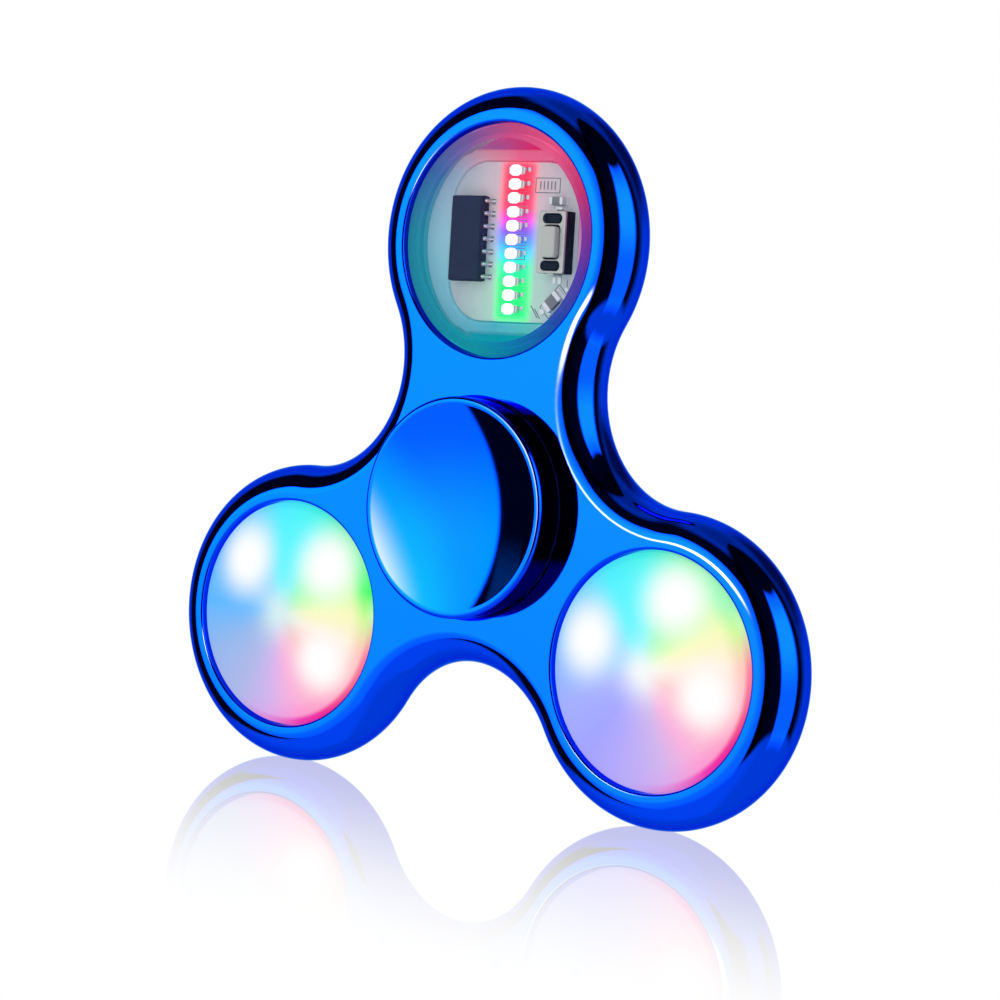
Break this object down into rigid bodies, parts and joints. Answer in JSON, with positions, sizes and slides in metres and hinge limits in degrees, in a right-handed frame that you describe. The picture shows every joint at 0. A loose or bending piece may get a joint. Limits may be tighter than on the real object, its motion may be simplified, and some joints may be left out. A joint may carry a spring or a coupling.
{
  "type": "light-up hand spinner",
  "caption": "Flat lobed hand spinner with lit lenses, turning on a ball bearing between two dished finger caps.",
  "frame": {"origin": "middle of the ball bearing, on the spin axis, half way through the body's thickness", "axes": "+Y along the spin axis, out of the back; the lenses face -Y; +Z from the spin axis to the lobe with the message board; +X to the right when the lenses are faced"},
  "size_m": [0.0778, 0.0138, 0.0716],
  "materials": {
    "blue_plating": "mirror-bright blue electroplating",
    "bearing_steel": "ground and polished steel",
    "cage_nylon": "natural moulded nylon",
    "clear_plastic": "clear polished moulding",
    "frosted_plastic": "milky diffuser with a smooth face",
    "white_plastic": "satin moulding",
    "board": "white solder mask on glass-fibre laminate",
    "chip_black": "fine matt moulding compound",
    "switch_black": "moulded",
    "switch_steel": "pressed and plated sheet",
    "button_grey": "moulded",
    "part_brown": "fired ceramic",
    "cell_steel": "plated can",
    "contact_bronze": "stamped spring strip",
    "led_red": "lit lamp",
    "led_magenta": "lit lamp",
    "led_violet": "lit lamp",
    "led_blue": "lit lamp",
    "led_cyan": "lit lamp",
    "led_green": "lit lamp"
  },
  "bodies": {
    "hub": {"finger_cap_front": "blue_plating", "finger_cap_back": "blue_plating", "bearing_inner_ring": "bearing_steel"},
    "ball_set": {"bearing_cage": "cage_nylon", "bearing_ball_1": "bearing_steel", "bearing_ball_2": "bearing_steel", "bearing_ball_3": "bearing_steel", "bearing_ball_4": "bearing_steel", "bearing_ball_5": "bearing_steel", "bearing_ball_6": "bearing_steel", "bearing_ball_7": "bearing_steel"},
    "rotor": {"body_frame": "blue_plating", "bearing_outer_ring": "bearing_steel", "bearing_shield_front": "bearing_steel", "bearing_shield_back": "bearing_steel", "message_back_cover": "white_plastic", "message_tray": "white_plastic", "message_board": "board", "message_led_1": "led_red", "message_led_2": "led_red", "message_led_3": "led_red", "message_led_4": "led_red", "message_led_5": "led_magenta", "message_led_6": "led_violet", "message_led_7": "led_blue", "message_led_8": "led_cyan", "message_led_9": "led_green", "message_led_10": "led_green", "message_led_11": "led_green", "message_chip": "chip_black", "message_switch_body": "switch_black", "message_switch_cover": "switch_steel", "message_capacitor": "part_brown", "message_resistor": "part_brown", "message_cell": "cell_steel", "message_contact": "contact_bronze", "left_glow_back_cover": "white_plastic", "left_glow_board": "board", "left_glow_led_1": "led_blue", "left_glow_led_2": "led_green", "left_glow_led_3": "led_red", "left_glow_chip": "chip_black", "left_glow_switch_body": "switch_black", "left_glow_cell": "cell_steel", "left_glow_contact": "contact_bronze", "right_glow_back_cover": "white_plastic", "right_glow_board": "board", "right_glow_led_1": "led_blue", "right_glow_led_2": "led_green", "right_glow_led_3": "led_red", "right_glow_chip": "chip_black", "right_glow_switch_body": "switch_black", "right_glow_cell": "cell_steel", "right_glow_contact": "contact_bronze"},
    "message_lens_button": {"message_lens": "clear_plastic"},
    "left_lens_button": {"left_glow_lens": "frosted_plastic"},
    "right_lens_button": {"right_glow_lens": "frosted_plastic"},
    "message_switch_plunger": {"message_switch_button": "button_grey"},
    "left_switch_plunger": {"left_glow_switch_button": "button_grey"},
    "right_switch_plunger": {"right_glow_switch_button": "button_grey"}
  },
  "joints": [
    {"name": "spin", "type": "hinge", "parent": "hub", "child": "rotor", "pos_m": [0, 0, 0], "axis": [0, 1, 0], "continuous": true},
    {"name": "ball_set_turn", "type": "hinge", "parent": "hub", "child": "ball_set", "pos_m": [0, 0, 0], "axis": [0, 1, 0], "continuous": true},
    {"name": "message_lens_press", "type": "slide", "parent": "rotor", "child": "message_lens_button", "axis": [0, 1, 0], "range_m": [0, 0.0005], "stiffness_N_per_m": 1200, "springref_m": -0.0003},
    {"name": "left_lens_press", "type": "slide", "parent": "rotor", "child": "left_lens_button", "axis": [0, 1, 0], "range_m": [0, 0.0005], "stiffness_N_per_m": 1200, "springref_m": -0.0003},
    {"name": "right_lens_press", "type": "slide", "parent": "rotor", "child": "right_lens_button", "axis": [0, 1, 0], "range_m": [0, 0.0005], "stiffness_N_per_m": 1200, "springref_m": -0.0003},
    {"name": "message_switch_press", "type": "slide", "parent": "rotor", "child": "message_switch_plunger", "axis": [0, 1, 0], "range_m": [0, 0.00025]},
    {"name": "left_switch_press", "type": "slide", "parent": "rotor", "child": "left_switch_plunger", "axis": [0, 1, 0], "range_m": [0, 0.00025]},
    {"name": "right_switch_press", "type": "slide", "parent": "rotor", "child": "right_switch_plunger", "axis": [0, 1, 0], "range_m": [0, 0.00025]}
  ],
  "couplings": [
    {"joint": "ball_set_turn", "follows": "spin", "ratio": 0.6323},
    {"joint": "message_switch_press", "follows": "message_lens_press", "ratio": 0.5},
    {"joint": "left_switch_press", "follows": "left_lens_press", "ratio": 0.5},
    {"joint": "right_switch_press", "follows": "right_lens_press", "ratio": 0.5}
  ]
}
